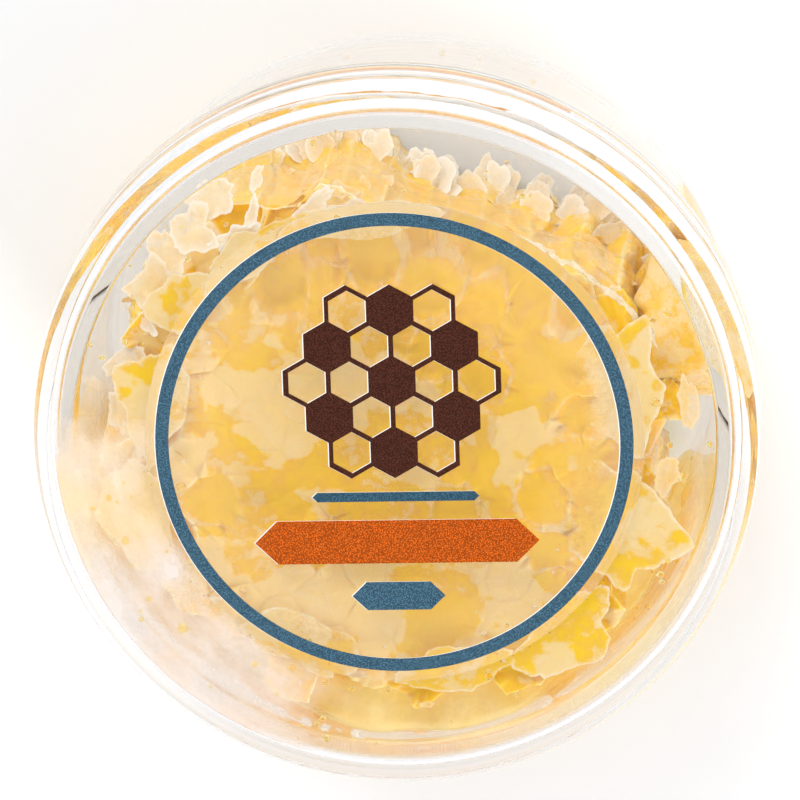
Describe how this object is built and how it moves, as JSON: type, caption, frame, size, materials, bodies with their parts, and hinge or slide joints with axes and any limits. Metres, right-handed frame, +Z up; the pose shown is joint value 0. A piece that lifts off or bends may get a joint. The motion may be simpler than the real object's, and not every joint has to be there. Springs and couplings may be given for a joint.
{
  "type": "honeycomb piece in a clear round tub",
  "caption": "Broken piece of raw honeycomb with run-out honey, shut in a clear round slip-lid tub with a clear film label that has a plain ring and simple shapes.",
  "frame": {"origin": "middle of the tub's foot, on the surface that it stands on", "axes": "+Z up through the lid, +Y towards the top of the label, +X towards the label's right"},
  "size_m": [0.0746, 0.0746, 0.0382],
  "materials": {
    "clear_plastic": "polished clear polystyrene, slightly warm where honey shows through it",
    "comb_wax": "cream wax caps over golden honey, torn and translucent",
    "honey": "clear golden honey, wet",
    "label_film": "clear self-adhesive film",
    "blue_print": "fine-screened ink, satin",
    "dark_blue_print": "fine-screened ink, satin",
    "brown_print": "fine-screened ink, satin",
    "orange_print": "fine-screened ink, satin"
  },
  "bodies": {
    "root": {"tub_base": "clear_plastic", "tub_lid": "clear_plastic", "honeycomb": "comb_wax", "honey": "honey", "label": "label_film", "label_ring": "blue_print", "label_emblem": "brown_print", "label_thin_rule": "dark_blue_print", "label_wide_band": "orange_print", "label_short_bar": "blue_print"}
  },
  "joints": []
}
